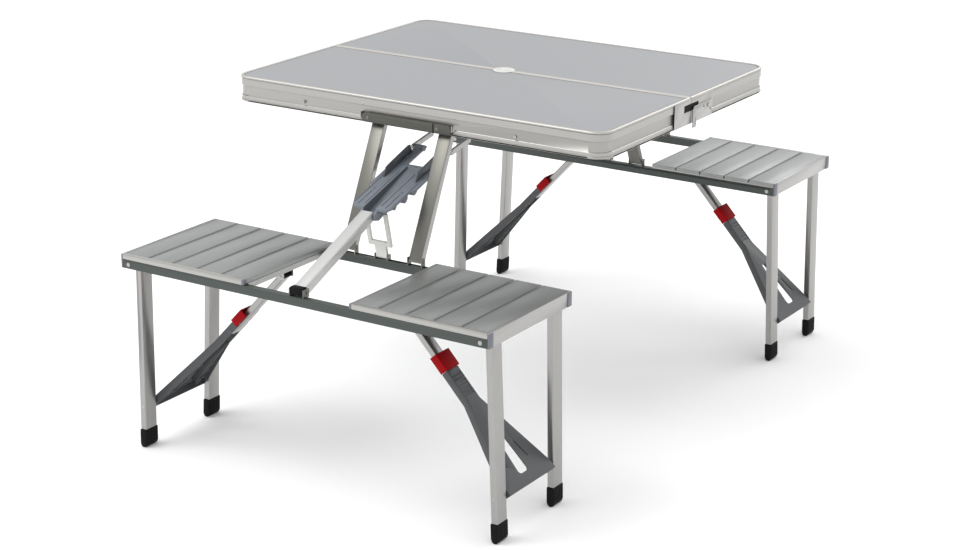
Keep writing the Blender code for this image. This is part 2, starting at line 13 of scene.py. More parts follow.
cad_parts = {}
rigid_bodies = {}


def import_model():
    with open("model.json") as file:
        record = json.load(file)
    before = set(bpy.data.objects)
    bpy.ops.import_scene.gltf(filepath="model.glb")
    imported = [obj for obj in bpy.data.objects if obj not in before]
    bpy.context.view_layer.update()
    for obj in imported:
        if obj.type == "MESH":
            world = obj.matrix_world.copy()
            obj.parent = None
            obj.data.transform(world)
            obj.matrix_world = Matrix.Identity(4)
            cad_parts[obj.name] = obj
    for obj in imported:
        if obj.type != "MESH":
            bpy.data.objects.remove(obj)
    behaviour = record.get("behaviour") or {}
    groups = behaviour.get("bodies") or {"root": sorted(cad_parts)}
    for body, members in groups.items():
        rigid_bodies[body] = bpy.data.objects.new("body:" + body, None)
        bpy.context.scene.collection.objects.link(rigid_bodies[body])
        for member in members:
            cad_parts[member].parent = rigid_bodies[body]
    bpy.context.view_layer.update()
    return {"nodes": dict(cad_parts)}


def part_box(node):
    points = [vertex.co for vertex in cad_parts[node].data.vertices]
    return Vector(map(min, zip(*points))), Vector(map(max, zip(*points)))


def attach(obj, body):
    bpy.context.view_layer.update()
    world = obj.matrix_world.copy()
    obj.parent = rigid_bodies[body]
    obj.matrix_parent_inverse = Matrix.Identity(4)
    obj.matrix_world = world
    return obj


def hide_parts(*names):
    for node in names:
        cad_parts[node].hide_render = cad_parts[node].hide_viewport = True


for old in list(bpy.data.objects):
    bpy.data.objects.remove(old, do_unlink=True)

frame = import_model()

# Sizes shared with the frame
FRAME_LOW, FRAME_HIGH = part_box("back_frame")
SEAT_LOW, SEAT_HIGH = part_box("back_right_seat")
END_LOW, END_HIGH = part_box("back_right_end_profile")
HANDLE_LOW, HANDLE_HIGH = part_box("carry_handle")
HASP_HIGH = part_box("latch_hasp")[1]
CAP_LOW, CAP_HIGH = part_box("umbrella_cap")
TOP_Z, RIM_Z = FRAME_HIGH.z, FRAME_LOW.z
HALF_LENGTH, HALF_WIDTH = FRAME_HIGH.x, FRAME_HIGH.y
SEAM_GAP = FRAME_LOW.y
CORNER_R = 0.035
BENCH_TOP = SEAT_HIGH.z
BENCH_IN, BENCH_OUT = 0.428, 0.7105
RAIL_W, RAIL_TOP = 0.014, 0.399
SEAT_UNDER = 0.3994
LEG_PIVOT = (0.3985, 0.3905)
FOOT_X = 0.4103
OUTER_LEG = (0.6675, 0.6600)
INNER_LEG = (0.4590, 0.4665)
LEG_W, FOOT_T = 0.032, 0.0155
LEG_RIVET_Z = 0.084
BAR_PIVOT, BAR_FOOT, BAR_X = (0.315, 0.662), (0.433, 0.4085), 0.0775
TUBE_PIVOT = (0.697, 0.4065)
HUB_MOUTH, HUB_EYE = (0.476, 0.511), (0.262, 0.578)
STRUT_TOP = (0.180, 0.655)
STAY_TOP, KNEE, BRACE_MID = (0.132, 0.380), (0.2559, 0.2467), 0.5693
SLATS, SLAT_GAP = 5, 0.0028


# ---------------------------------------------------------------- materials


def linear(rgb):
    return [((c / 255 + 0.055) / 1.055) ** 2.4 if c > 10 else c / 255 / 12.92 for c in rgb]


def surface(name, rgb, metallic, roughness, stretch=(1, 1, 1), scale=60.0, vary=0.06, bump=0.02):
    """Principled surface with stretched noise for brushed metal or moulded grain."""
    mat = bpy.data.materials.new(name)
    mat.use_nodes = True
    nodes, links = mat.node_tree.nodes, mat.node_tree.links
    shader = nodes["Principled BSDF"]
    shader.inputs["Metallic"].default_value = metallic
    coords = nodes.new("ShaderNodeTexCoord")
    mapping = nodes.new("ShaderNodeMapping")
    mapping.inputs["Scale"].default_value = stretch
    links.new(coords.outputs["Object"], mapping.inputs["Vector"])
    noise = nodes.new("ShaderNodeTexNoise")
    noise.inputs["Scale"].default_value = scale
    noise.inputs["Detail"].default_value = 5.0
    noise.inputs["Roughness"].default_value = 0.65
    links.new(mapping.outputs["Vector"], noise.inputs["Vector"])
    ramp = nodes.new("ShaderNodeValToRGB")
    base = linear(rgb)
    ramp.color_ramp.elements[0].position = 0.3
    ramp.color_ramp.elements[1].position = 0.7
    ramp.color_ramp.elements[0].color = (*[c * (1 - vary) for c in base], 1)
    ramp.color_ramp.elements[1].color = (*[min(1, c * (1 + vary)) for c in base], 1)
    links.new(noise.outputs["Fac"], ramp.inputs["Fac"])
    links.new(ramp.outputs["Color"], shader.inputs["Base Color"])
    rough = nodes.new("ShaderNodeMapRange")
    rough.inputs["To Min"].default_value = max(0.05, roughness - 0.07)
    rough.inputs["To Max"].default_value = min(1.0, roughness + 0.07)
    links.new(noise.outputs["Fac"], rough.inputs["Value"])
    links.new(rough.outputs["Result"], shader.inputs["Roughness"])
    height = nodes.new("ShaderNodeBump")
    height.inputs["Strength"].default_value = bump * 10
    height.inputs["Distance"].default_value = 0.0002
    links.new(noise.outputs["Fac"], height.inputs["Height"])
    links.new(height.outputs["Normal"], shader.inputs["Normal"])
    return mat


PANEL = surface("coated_panel", (150, 151, 154), 0.3, 0.46, (1, 1, 1), 900, 0.04, 0.01)
SILVER_X = surface("aluminium_along_x", (172, 171, 168), 0.92, 0.30, (1, 60, 60), 12, 0.05)
SILVER_Y = surface("aluminium_along_y", (173, 172, 170), 0.92, 0.30, (60, 1, 60), 12, 0.05)
SILVER_Z = surface("aluminium_legs", (163, 162, 160), 0.92, 0.30, (60, 60, 1), 12, 0.05)
WEB_GREY = surface("aluminium_recess", (168, 166, 163), 0.9, 0.36, (1, 1, 60), 12, 0.05)
SLAT = surface("slat_brushed", (152, 154, 153), 0.75, 0.38, (90, 1, 60), 14, 0.17, 0.05)
# Near-black painted shade for gaps and joints: the sheet under the slats and the joint beside the top's bead.
GAP_SHADE = surface("painted_gap_shade", (34, 35, 35), 0.3, 0.6, (1, 1, 1), 200, 0.05)
RAIL = surface("rail_anodised", (71, 77, 74), 0.45, 0.40, (1, 50, 50), 14, 0.07)
BAR = surface("bar_plated", (118, 117, 111), 0.85, 0.36, (60, 60, 1), 14, 0.08, 0.03)
BRACE = surface("brace_plastic", (72, 74, 76), 0.0, 0.40, (1, 1, 1), 500, 0.05)
HUB = surface("hub_plastic", (110, 116, 124), 0.0, 0.38, (1, 1, 1), 500, 0.04)
# Hub plastic darkened as painted shade on the trough's upright walls and the plates beside the struts; the
# knee rivets also take this colour.
HUB_DARK_AND_SHADE = surface("hub_plastic_dark_and_painted_shade", (78, 82, 88), 0.0, 0.45, (1, 1, 1), 500, 0.05)
RED = surface("lock_plastic", (160, 3, 14), 0.0, 0.60, (1, 1, 1), 400, 0.05)
RED.node_tree.nodes["Principled BSDF"].inputs["Specular IOR Level"].default_value = 0.12
WHITE = surface("white_plastic", (204, 204, 200), 0.0, 0.40, (1, 1, 1), 400, 0.02)
BLACK = surface("black_rubber", (9, 9, 10), 0.0, 0.62, (1, 1, 1), 700, 0.15, 0.04)
BLACK.node_tree.nodes["Principled BSDF"].inputs["Specular IOR Level"].default_value = 0.15
CAP_GREY = surface("end_cap_grey", (108, 108, 118), 0.0, 0.45, (1, 1, 1), 500, 0.04)
OLIVE = surface("handle_plastic", (78, 78, 72), 0.15, 0.45, (1, 1, 1), 500, 0.05)
LIP_METAL = surface("lip_metal", (188, 186, 181), 0.85, 0.46, (1, 60, 60), 12, 0.05)
TUBE_METAL = surface("tube_bright", (200, 200, 199), 0.7, 0.34, (60, 1, 60), 12, 0.04)
STEEL = surface("rivet_steel", (168, 168, 166), 0.9, 0.28, (1, 1, 1), 300, 0.05)


# ---------------------------------------------------------------- mesh helpers


def block(bm, x0, x1, y0, y1, z0, z1):
    centre = Matrix.Translation(((x0 + x1) / 2, (y0 + y1) / 2, (z0 + z1) / 2))
    size = Matrix.Diagonal((x1 - x0, y1 - y0, z1 - z0, 1.0))
    return bmesh.ops.create_cube(bm, size=1.0, matrix=centre @ size)["verts"]


def prism(bm, axis, points, low, high):
    place = {
        "x": lambda p, h: (h, p[0], p[1]),
        "y": lambda p, h: (p[0], h, p[1]),
        "z": lambda p, h: (p[0], p[1], h),
    }[axis]
    floor = [bm.verts.new(place(p, low)) for p in points]
    roof = [bm.verts.new(place(p, high)) for p in points]
    bm.faces.new(floor)
    bm.faces.new(roof)
    for i, vert in enumerate(floor):
        j = (i + 1) % len(floor)
        bm.faces.new((vert, floor[j], roof[j], roof[i]))
    return floor + roof


def rod(bm, axis, a, b, radius, low, high, segments=24):
    turn = {
        "x": Matrix.Rotation(pi / 2, 4, "Y"),
        "y": Matrix.Rotation(pi / 2, 4, "X"),
        "z": Matrix.Identity(4),
    }[axis]
    mid = (low + high) / 2
    at = {"x": (mid, a, b), "y": (a, mid, b), "z": (a, b, mid)}[axis]
    made = bmesh.ops.create_cone(
        bm,
        cap_ends=True,
        segments=segments,
        radius1=radius,
        radius2=radius,
        depth=high - low,
        matrix=Matrix.Translation(at) @ turn,
    )
    return made["verts"]


def soften(bm, width, longer_than=0.0, segments=2):
    """Round the sharp edges, or only the long ones."""
    edges = []
    for edge in bm.edges:
        if len(edge.link_faces) != 2 or edge.calc_face_angle(0.0) < radians(40):
            continue
        if edge.calc_length() > longer_than:
            edges.append(edge)
    if edges:
        bmesh.ops.bevel(
            bm,
            geom=edges,
            offset=width,
            offset_type="OFFSET",
            segments=segments,
            profile=0.5,
            affect="EDGES",
            clamp_overlap=True,
        )


def finish_piece(name, bm, mat, body, nodes=()):
    bmesh.ops.recalc_face_normals(bm, faces=bm.faces)
    mesh = bpy.data.meshes.new(name)
    bm.to_mesh(mesh)
    bm.free()
    for one in mat if isinstance(mat, list) else [mat]:
        mesh.materials.append(one)
    mesh.shade_smooth()
    mesh.set_sharp_from_angle(angle=radians(32))
    obj = bpy.data.objects.new(name, mesh)
    bpy.context.scene.collection.objects.link(obj)
    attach(obj, body)
    if nodes:
        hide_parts(*nodes)
    return obj


def piece(name, build, mat, body, sx=1, sy=1, width=0.0, nodes=()):
    bm = bmesh.new()
    build(bm)
    bmesh.ops.recalc_face_normals(bm, faces=bm.faces)
    if width:
        soften(bm, width)
    bmesh.ops.scale(bm, vec=(sx, sy, 1.0), verts=bm.verts)
    return finish_piece(name, bm, mat, body, nodes)


def cut_mesh(bm, cutter, sx, sy):
    """Boolean difference, done on throw-away objects."""
    tool = bmesh.new()
    cutter(tool)
    bmesh.ops.scale(tool, vec=(sx, sy, 1.0), verts=tool.verts)
    bmesh.ops.recalc_face_normals(tool, faces=tool.faces)
    made = []
    for word, source in (("whole", bm), ("tool", tool)):
        mesh = bpy.data.meshes.new(word)
        source.to_mesh(mesh)
        source.free()
        obj = bpy.data.objects.new(word, mesh)
        bpy.context.scene.collection.objects.link(obj)
        made.append(obj)
    whole, knife = made
    boolean = whole.modifiers.new("cut", "BOOLEAN")
    boolean.operation = "DIFFERENCE"
    boolean.solver = "EXACT"
    boolean.object = knife
    graph = bpy.context.evaluated_depsgraph_get()
    result = bmesh.new()
    result.from_mesh(whole.evaluated_get(graph).to_mesh())
    for obj in made:
        bpy.data.objects.remove(obj, do_unlink=True)
    return result


def shell(node, mat, body, width, longer_than=0.0, cutters=(), extra=None, sx=1, sy=1, paint=None):
    """A CAD node's own shape with rounded edges, standing for that node."""
    bm = bmesh.new()
    bm.from_mesh(frame["nodes"][node].data)
    bmesh.ops.remove_doubles(bm, verts=bm.verts, dist=1e-5)
    for cutter in cutters:
        bm = cut_mesh(bm, cutter, sx, sy)
        bmesh.ops.remove_doubles(bm, verts=bm.verts, dist=1e-5)
    bmesh.ops.dissolve_limit(bm, angle_limit=radians(0.6), verts=bm.verts, edges=bm.edges)
    if width:
        soften(bm, width, longer_than)
    if paint:
        bm.normal_update()
        for face in bm.faces:
            face.material_index = paint(face)
    if extra:
        more = bmesh.new()
        extra(more)
        bmesh.ops.recalc_face_normals(more, faces=more.faces)
        soften(more, 0.0004, 0.0, 1)
        bmesh.ops.scale(more, vec=(sx, sy, 1.0), verts=more.verts)
        mesh = bpy.data.meshes.new("more")
        more.to_mesh(mesh)
        more.free()
        bm.from_mesh(mesh)
        bpy.data.meshes.remove(mesh)
    return finish_piece(node + "_finish", bm, mat, body, [node])


def rounded(half_x, y_in, y_out, r_in, r_out, steps=8):
    corners = (
        (half_x, y_out, r_out, 0.0),
        (-half_x, y_out, r_out, pi / 2),
        (-half_x, y_in, r_in, pi),
        (half_x, y_in, r_in, 3 * pi / 2),
    )
    points = []
    for x, y, r, start in corners:
        r = max(r, 0.0008)
        cx = x - r if x > 0 else x + r
        cy = y - r if y == y_out else y + r
        for k in range(steps + 1):
            turn = start + pi / 2 * k / steps
            points.append((cx + r * cos(turn), cy + r * sin(turn)))
    return points


def ring(bm, profile):
    loops = []
    for inset, z in profile:
        outline = rounded(
            HALF_LENGTH - inset,
            SEAM_GAP + inset,
            HALF_WIDTH - inset,
            0.004 - inset,
            CORNER_R - inset,
        )
        loops.append([bm.verts.new((x, y, z)) for x, y in outline])
    for i, low in enumerate(loops):
        high = loops[(i + 1) % len(loops)]
        for k, vert in enumerate(low):
            m = (k + 1) % len(low)
            bm.faces.new((vert, low[m], high[m], high[k]))


def rivet(bm, axis, a, b, at, radius, sign=1):
    """Domed rivet head: at is where its base sits along the axis."""
    step = radius * 0.22 * sign
    low, high = sorted((at - step * 0.3, at + step))
    verts = rod(bm, axis, a, b, radius, low, high, 20)
    index = "xyz".index(axis)
    middle = {"x": (0, a, b), "y": (a, 0, b), "z": (a, b, 0)}[axis]
    for vert in verts:
        if abs(vert.co[index] - (at + step)) < 1e-7:
            for k in range(3):
                if k != index:
                    vert.co[k] = middle[k] + (vert.co[k] - middle[k]) * 0.72


# ---------------------------------------------------------------- table top


def band(bm, inset, z0, z1):
    r = 0.0006
    ring(
        bm,
        (
            (inset + r, z0),
            (0.0032, z0),
            (0.0032, z1),
            (inset + r, z1),
            (inset, z1 - r),
            (inset, z0 + r),
        ),
    )


def table_top(label, sy):
    body = f"{label}_table"
    shell(f"{label}_top_panel", PANEL, body, 0.0008, 0.01)
    shell(f"{label}_frame", WEB_GREY, body, 0.0003, 0.2)
    upper = lambda bm: band(bm, 0.0009, TOP_Z - 0.0185, TOP_Z - 0.0040)
    lower = lambda bm: band(bm, 0.0012, RIM_Z + 0.0045, RIM_Z + 0.0118)
    lip = lambda bm: ring(bm, lip_profile(TOP_Z))
    foot_lip = lambda bm: ring(bm, low_lip_profile())
    piece(f"{label}_upper_band", upper, SILVER_X, body, 1, sy)
    piece(f"{label}_lower_band", lower, SILVER_X, body, 1, sy)
    piece(f"{label}_top_lip", lip, LIP_METAL, body, 1, sy)
    piece(f"{label}_bottom_lip", foot_lip, SILVER_X, body, 1, sy)
    piece(f"{label}_lip_shadow", lip_shadow, GAP_SHADE, body, 1, sy)


def lip_profile(z):
    """Rounded bead that laps the panel's edge and stands proud of it."""
    return (
        (0.0, z - 0.0030),
        (0.0001, z - 0.0012),
        (0.0008, z + 0.0002),
        (0.0020, z + 0.0010),
        (0.0036, z + 0.0013),
        (0.0054, z + 0.0010),
        (0.0064, z + 0.0002),
        (0.0066, z - 0.0001),
        (0.0030, z - 0.0010),
        (0.0030, z - 0.0036),
    )


def lip_shadow(bm):
    """Painted shade in the joint between the bead and the coated panel."""
    z = TOP_Z
    ring(bm, ((0.0060, z - 0.0001), (0.0060, z + 0.00005), (0.0078, z + 0.00005), (0.0078, z - 0.0001)))


def low_lip_profile():
    z = RIM_Z
    return (
        (0.0, z + 0.0012),
        (0.0006, z + 0.0003),
        (0.0016, z),
        (0.0044, z),
        (0.0044, z + 0.0010),
        (0.0030, z + 0.0042),
        (0.0004, z + 0.0040),
        (0.0, z + 0.0032),
    )


def edge_screws(bm):
    """Screws and small studs along the front apron."""
    for x, z in ((-0.1115, 0.6700), (0.1000, 0.6700)):
        rivet(bm, "y", x, z, HALF_WIDTH - 0.0009, 0.0034)
    for x in (-0.254, 0.237):
        rod(bm, "y", x, 0.654, 0.0032, HALF_WIDTH - 0.004, HALF_WIDTH + 0.0012)


def handle_trim(bm):
    front = -HANDLE_LOW.y
    for x in (-0.0945, 0.0660):
        rivet(bm, "y", x, 0.6455, front, 0.0040)


def handle_ridges(bm):
    front = -HANDLE_LOW.y
    for z in (HANDLE_HIGH.z - 0.0042, HANDLE_LOW.z + 0.0034):
        block(bm, -0.090, 0.056, front - 0.001, front + 0.0006, z - 0.0006, z + 0.0006)


def handle_gap(bm):
    front = -HANDLE_LOW.y
    block(bm, 0.0576, 0.0598, front - 0.0012, front + 0.0004, HANDLE_LOW.z - 0.0002, HANDLE_HIGH.z + 0.0002)


def front_handle():
    body, slot = "handle", "handle_olive_grey"
    shell("carry_handle", OLIVE, body, 0.0014, extra=handle_ridges, sy=-1)
    piece("handle_screws", handle_trim, BAR, body, 1, -1)
    piece("handle_gap_line", handle_gap, BLACK, body, 1, -1)
    piece("front_edge_screws", edge_screws, STEEL, "front_table", 1, -1)


def latch_slot_back(bm):
    block(bm, HALF_LENGTH - 0.0012, HALF_LENGTH + 0.0005, -0.0004, 0.0302, 0.6605, 0.6755)


def latch_screw_front(bm):
    rivet(bm, "x", 0.059, 0.658, HALF_LENGTH + 0.0013, 0.0036)


def latch_screw_back(bm):
    rivet(bm, "x", 0.0845, 0.6690, HALF_LENGTH + 0.0013, 0.0030)
    rivet(bm, "x", 0.0845, 0.6480, HALF_LENGTH + 0.0013, 0.0030)


def hasp_rivets(bm):
    face = HASP_HIGH.x - 0.0002
    rivet(bm, "x", 0.0150, 0.6560, face, 0.0050)


def hasp_studs(bm):
    for y in (0.0500, 0.0700):
        rivet(bm, "x", y, 0.6600, HASP_HIGH.x - 0.0002, 0.0022)


def hasp_eye(bm):
    """Wire loop that hangs from the end of the hasp."""
    x, r = HASP_HIGH.x - 0.0004, 0.0014
    for y in (0.0058, 0.0162):
        rod(bm, "z", x, y, r, 0.6290, 0.6480, 10)
    rod(bm, "y", x, 0.6285, r, 0.0058, 0.0162, 10)


def latch():
    for label, sy in (("front", -1), ("back", 1)):
        body = f"{label}_table"
        shell(f"{label}_latch_plate", SILVER_Y, body, 0.0003)
        piece(f"{label}_latch_slot", latch_slot_back, BLACK, body, 1, sy)
    piece("front_latch_screw", latch_screw_front, STEEL, "front_table", 1, -1)
    piece("back_latch_screw", latch_screw_back, STEEL, "back_table")
    shell("latch_hasp", STEEL, "hasp", 0.0005)
    piece("hasp_rivets", hasp_rivets, STEEL, "hasp")
    piece("hasp_studs", hasp_studs, BLACK, "hasp")
    piece("hasp_loop", hasp_eye, STEEL, "hasp")


def cap_turned(bm):
    """Turned cap: rounded rim, shallow dish and a small raised middle."""
    top = CAP_HIGH.z
    profile = (
        (0.0, top - 0.0004),
        (0.0070, top - 0.0004),
        (0.0078, top - 0.0010),
        (0.0150, top - 0.0010),
        (0.0168, top - 0.0001),
        (0.0190, top),
        (0.0214, top - 0.0005),
        (CAP_HIGH.x, top - 0.0014),
        (CAP_HIGH.x, top - 0.0018),
        (0.0186, top - 0.0019),
        (0.0186, CAP_LOW.z),
        (0.0, CAP_LOW.z),
    )
    verts = [bm.verts.new((r, 0.0, z)) for r, z in profile]
    edges = [bm.edges.new(pair) for pair in zip(verts, verts[1:])]
    turn = {"cent": (0, 0, 0), "axis": (0, 0, 1), "angle": 2 * pi, "steps": 48}
    bmesh.ops.spin(bm, geom=verts + edges, use_merge=True, **turn)
    bmesh.ops.remove_doubles(bm, verts=bm.verts, dist=1e-6)


def umbrella_cap():
    piece("umbrella_cap_turned", cap_turned, WHITE, "cap", nodes=["umbrella_cap"])


# ---------------------------------------------------------------- benches


def slats(bm):
    """Five slats with open joints, from the back edge to the front trim."""
    x0, x1 = SEAT_LOW.x, SEAT_HIGH.x
    pitch = (x1 - x0) / SLATS
    for k in range(SLATS):
        left = x0 + k * pitch + (SLAT_GAP / 2 if k else 0.0)
        right = x0 + (k + 1) * pitch - (SLAT_GAP / 2 if k < SLATS - 1 else 0.0)
        block(bm, left, right, BENCH_IN + 0.0006, BENCH_OUT - 0.0090, SEAT_UNDER + 0.0014, BENCH_TOP - 0.0004)


def slat_lines(bm):
    """Fine raised line along both edges of each slat."""
    x0, x1 = SEAT_LOW.x, SEAT_HIGH.x
    pitch = (x1 - x0) / SLATS
    for k in range(SLATS):
        for share in (0.07, 0.93):
            x = x0 + (k + share) * pitch
            y = (BENCH_IN + 0.0014, BENCH_OUT - 0.0096)
            block(bm, x - 0.0005, x + 0.0005, *y, BENCH_TOP - 0.0010, BENCH_TOP - 0.0001)


def trims(bm):
    x0, x1 = SEAT_LOW.x + 0.0045, SEAT_HIGH.x
    block(bm, x0, x1, BENCH_OUT - 0.0086, BENCH_OUT - 0.0001, SEAT_UNDER, BENCH_TOP)
    block(bm, SEAT_LOW.x, x1, BENCH_IN + 0.0002, BENCH_IN + 0.0030, SEAT_UNDER, SEAT_UNDER + 0.0040)


def seat_end_cap(bm):
    """Grey stopper on the trim's inner end."""
    x0 = SEAT_LOW.x
    block(bm, x0, x0 + 0.0060, BENCH_OUT - 0.0092, BENCH_OUT - 0.0001, SEAT_UNDER, BENCH_TOP - 0.0001)


# Near-black sheet under the slats: painted shade seen through the slat gaps.
def seat_gap_shade(bm):
    y = (BENCH_IN + 0.0070, BENCH_OUT - 0.0070)
    block(bm, SEAT_LOW.x + 0.0060, SEAT_HIGH.x, *y, SEAT_UNDER, SEAT_UNDER + 0.0016)


def stay_bracket(bm):
    top = SEAT_UNDER + 0.0005
    across = (BENCH_IN + RAIL_W + 0.001, BENCH_OUT - RAIL_W - 0.001)
    block(bm, SEAT_LOW.x + 0.0008, SEAT_LOW.x + 0.008, *across, 0.3892, top)
    inner = 0.0125 + 0.0012
    for side in (-1, 1):
        y = BRACE_MID + side * (inner + 0.0009)
        x, low = (STAY_TOP[0] - 0.008, STAY_TOP[0] + 0.007), STAY_TOP[1] - 0.0052
        block(bm, *x, y - 0.0009, y + 0.0009, low, top)
    rod(bm, "y", STAY_TOP[0], STAY_TOP[1], 0.0025, BRACE_MID - 0.0165, BRACE_MID + 0.0165)


def corner_caps(bm):
    for y0, y1 in ((BENCH_IN + 0.0003, BENCH_IN + 0.0146), (BENCH_OUT - 0.0146, BENCH_OUT - 0.0003)):
        block(bm, END_LOW.x - 0.0006, END_HIGH.x + 0.0010, y0, y1, END_LOW.z - 0.0003, END_HIGH.z - 0.0004)


def rail_paint(face):
    """The pins' heads bright and the ears above the rail dark, on the rail's own colour."""
    spot = face.calc_center_median()
    if not BENCH_IN - 0.0001 < abs(spot.y) < BENCH_OUT + 0.0001:
        return 1
    return 2 if spot.z > RAIL_TOP + 0.0004 else 0


def side_paint(face):
    """Polished narrow faces on the bars."""
    return 1 if abs(face.normal.x) > 0.9 else 0


def trough_paint(face):
    """Shaded upright walls inside the hub's trough; its floor keeps the hub's colour."""
    inside = abs(face.calc_center_median().x) < 0.0142
    return 1 if inside and abs(face.normal.x) > 0.9 else 0


def bar_rivets(bm):
    y, z = (BAR_PIVOT[0] + BAR_FOOT[0]) / 2, (BAR_PIVOT[1] + BAR_FOOT[1]) / 2
    for side in (-1, 1):
        for word in (-1, 1):
            rivet(bm, "x", y, z, side * BAR_X + word * 0.0145, 0.0032, word)


def tube_plug(bm):
    y, z = TUBE_PIVOT
    block(bm, -0.0140, 0.0140, y - 0.0035, y + 0.0110, z - 0.0052, z + 0.0108)


def hub_slots(bm):
    for side in (-1, 1):
        hub_plane(block(bm, side * 0.0315 - 0.0009, side * 0.0315 + 0.0009, 0.410, 0.4690, -0.0020, 0.004))


def hub_plane(verts):
    """Lift a shape drawn on the flat into the hub's sloping plane."""
    rise = (HUB_EYE[1] - HUB_MOUTH[1]) / (HUB_MOUTH[0] - HUB_EYE[0])
    for vert in verts:
        vert.co.z += HUB_MOUTH[1] + (HUB_MOUTH[0] - vert.co.y) * rise


def hub_lumps(bm):
    """Knuckles under the flanges and raised rims along them."""
    for side in (-1, 1):
        x0, x1 = sorted((side * 0.0200, side * 0.0330))
        hub_plane(rod(bm, "x", 0.4660, -0.0062, 0.0052, x0, x1, 20))
        x0, x1 = sorted((side * 0.0340, side * 0.0425))
        hub_plane(rod(bm, "x", 0.4520, -0.0060, 0.0050, x0, x1, 20))
        x0, x1 = sorted((side * 0.0200, side * 0.0430))
        hub_plane(rod(bm, "x", 0.4180, -0.0080, 0.0078, x0, x1, 24))
        hub_plane(rod(bm, "x", 0.3860, -0.0090, 0.0088, x0, x1, 24))
        for x in (0.0188, 0.0430):
            hub_plane(block(bm, side * x - 0.0007, side * x + 0.0007, 0.350, 0.464, -0.0030, 0.0014))


def hub_plates(bm):
    """Tall plates beside the struts, from the back of the flanges to the strut pivots."""
    outline = [(0.377, -0.0005), (0.369, 0.0165), (0.352, 0.0178), (0.292, 0.0190), (0.285, 0.0165)]
    outline += [(0.278, -0.0045), (0.298, -0.0050)]
    for side in (-1, 1):
        x0, x1 = sorted((side * 0.0358, side * 0.0380))
        hub_plane(prism(bm, "x", outline, x0, x1))


def hub_pins(bm):
    for side in (-1, 1):
        rivet(bm, "x", HUB_EYE[0], HUB_EYE[1], side * 0.0465, 0.0042, side)
        rivet(bm, "x", STRUT_TOP[0], STRUT_TOP[1], side * 0.0465, 0.0040, side)


def leg_shift(centre, z):
    return centre[0] + (centre[1] - centre[0]) * (LEG_PIVOT[1] - z) / LEG_PIVOT[1]


def leg_x(z):
    return LEG_PIVOT[0] + (FOOT_X - LEG_PIVOT[0]) * (LEG_PIVOT[1] - z) / LEG_PIVOT[1]


def leg_rivets(bm):
    z = LEG_RIVET_Z
    rivet(bm, "y", leg_x(z), z, leg_shift(OUTER_LEG, z) + LEG_W / 2, 0.0036)
    rivet(bm, "y", leg_x(z), z, leg_shift(INNER_LEG, z) - LEG_W / 2, 0.0036, -1)


def foot_ribs(bm, centre):
    for side in (-1, 1):
        for k in range(5):
            y = leg_shift(centre, 0.02) + (k - 2) * 0.0062
            x = side * FOOT_T / 2
            verts = block(bm, x - 0.0006, x + 0.0006, y - 0.0016, y + 0.0016, 0.0085, 0.0335)
            for vert in verts:
                vert.co.x += leg_x(vert.co.z)


STAY_DIR = Vector((KNEE[0] - STAY_TOP[0], 0, KNEE[1] - STAY_TOP[1])).normalized()
STAY_UP = Vector((-STAY_DIR.z, 0, STAY_DIR.x))


def lay(verts):
    """Lay a shape drawn as (along, across, up) from the knee into the stay's plane."""
    for vert in verts:
        d, v, n = vert.co
        vert.co = Vector((KNEE[0], BRACE_MID + v, KNEE[1])) + STAY_DIR * d + STAY_UP * n


def brace_window(bm):
    """Long tapered opening with a squarish lower end."""
    r = 0.007
    points = [(0.104, -0.0070), (0.104, 0.0070)]
    for v, first in ((0.0075, 0), (-0.0075, 5)):
        for k in range(first, first + 6):
            points.append((0.2015 + r * sin(pi * k / 10), v + r * cos(pi * k / 10)))
    lay(prism(bm, "z", points, -0.02, 0.03))


def brace_side_slots(bm):
    for side in (-1, 1):
        verts = block(bm, 0.150, 0.186, -0.0017, 0.0017, -0.01, 0.03)
        for vert in verts:
            vert.co.y += side * (0.026 + 0.28 * (vert.co.x - 0.150))
        lay(verts)


def brace_grooves(bm):
    """Shallow grooves across the brace's neck, below the lock's sliding face."""
    for k in range(7):
        d = -0.0100 + k * 0.0072
        lay(block(bm, d, d + 0.0036, -0.0145, 0.0145, 0.0088, 0.0130))


def brace_ribs(bm):
    for side in (-1, 1):
        verts = block(bm, 0.052, 0.205, -0.0010, 0.0010, -0.0035, 0.0082)
        for vert in verts:
            vert.co.y += side * (0.0150 + 0.020 * (vert.co.x - 0.052) / 0.153)
        lay(verts)
        verts = block(bm, 0.075, 0.226, -0.0008, 0.0008, -0.0035, 0.0082)
        for vert in verts:
            vert.co.y += side * (0.0200 + 0.034 * (vert.co.x - 0.075) / 0.151)
        lay(verts)
        for k in range(5):
            d = 0.078 + k * 0.030
            edge = 0.0165 + (d - 0.050) / 0.168 * 0.052
            inner = 0.0145 + 0.020 * (d - 0.052) / 0.153
            y0, y1 = sorted((side * inner, side * edge))
            lay(block(bm, d - 0.0008, d + 0.0008, y0, y1, -0.0030, 0.0082))


def lock_trim(bm):
    """Thumb step across the lock and a flap beside the tube."""
    lay(block(bm, -0.0560, -0.0480, -0.0208, 0.0208, 0.0108, 0.0131))
    lay(block(bm, -0.0300, -0.0240, -0.0208, 0.0208, 0.0116, 0.0131))
    for side in (-1, 1):
        y0, y1 = sorted((side * 0.0188, side * 0.0214))
        lay(block(bm, -0.0578, -0.0470, y0, y1, -0.0038, 0.0040))


def knee_rivets(bm):
    for side in (-1, 1):
        rivet(bm, "y", KNEE[0], KNEE[1], BRACE_MID + side * 0.0180, 0.0048, side)


def stay_plug(bm):
    lay(block(bm, -0.1872, -0.1800, -0.0128, 0.0128, -0.0063, 0.0063))


